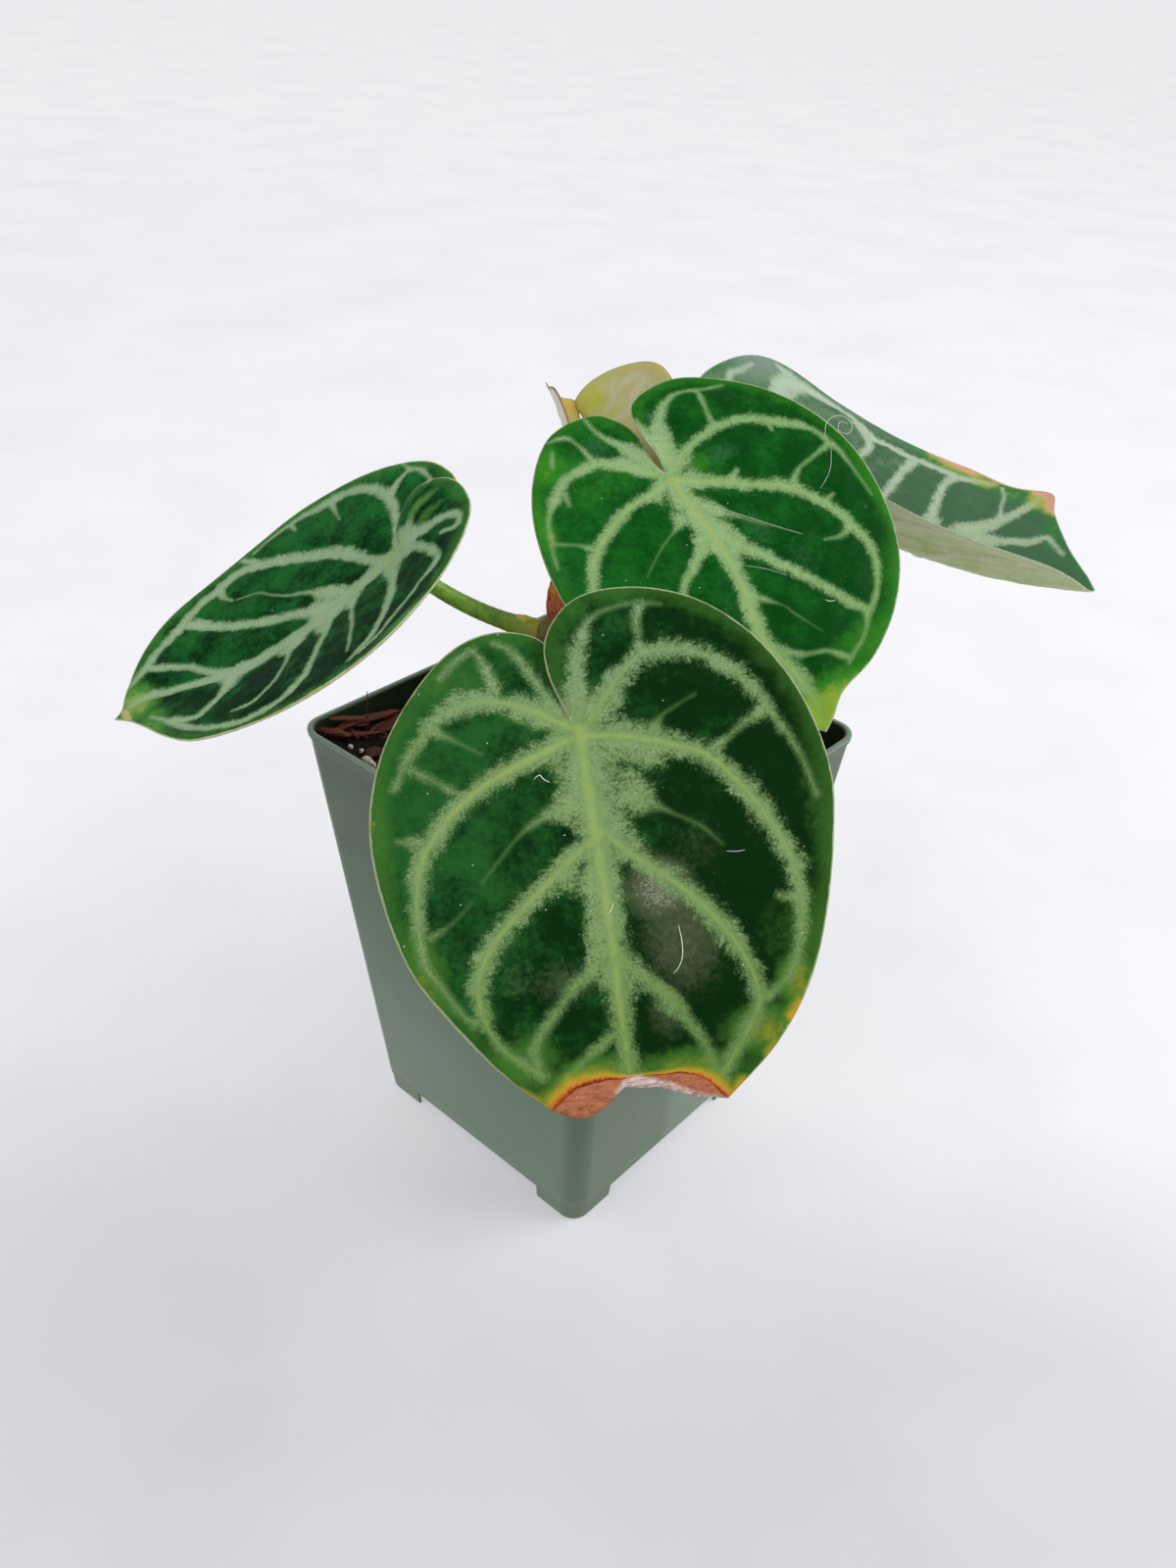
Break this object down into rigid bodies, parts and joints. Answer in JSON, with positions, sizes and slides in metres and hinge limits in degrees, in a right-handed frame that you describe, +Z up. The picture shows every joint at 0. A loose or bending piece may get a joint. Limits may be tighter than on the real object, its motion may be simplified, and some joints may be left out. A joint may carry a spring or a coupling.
{
  "type": "potted houseplant",
  "caption": "Young velvet-leaved houseplant: broad heart-shaped leaves with pale veins on slender stalks, growing from bark mix in a tapered square nursery pot.",
  "frame": {"origin": "middle of the underside of the whole plant's bounding box, at the level that the pot's feet stand on; the pot's own middle is 0.3 mm along +X and 32.9 mm along -Y from it", "axes": "+Z up, X and Y along the pot's sides; the picture looks down from the corner at +X -Y"},
  "size_m": [0.1974, 0.2516, 0.1999],
  "materials": {
    "pot": "satin",
    "potting_mix": "matte",
    "stem": "matte",
    "stalk": "satin",
    "leaf": "matte",
    "new_leaf": "satin"
  },
  "bodies": {
    "root": {"pot": "pot", "soil": "potting_mix", "stem": "stem", "petiole_a": "stalk", "petiole_b": "stalk", "petiole_c": "stalk", "petiole_d": "stalk", "petiole_e": "stalk", "leaf_a_blade": "leaf", "leaf_b_blade": "leaf", "leaf_c_blade": "leaf", "leaf_d_blade": "leaf", "leaf_e_blade": "new_leaf"}
  },
  "joints": []
}
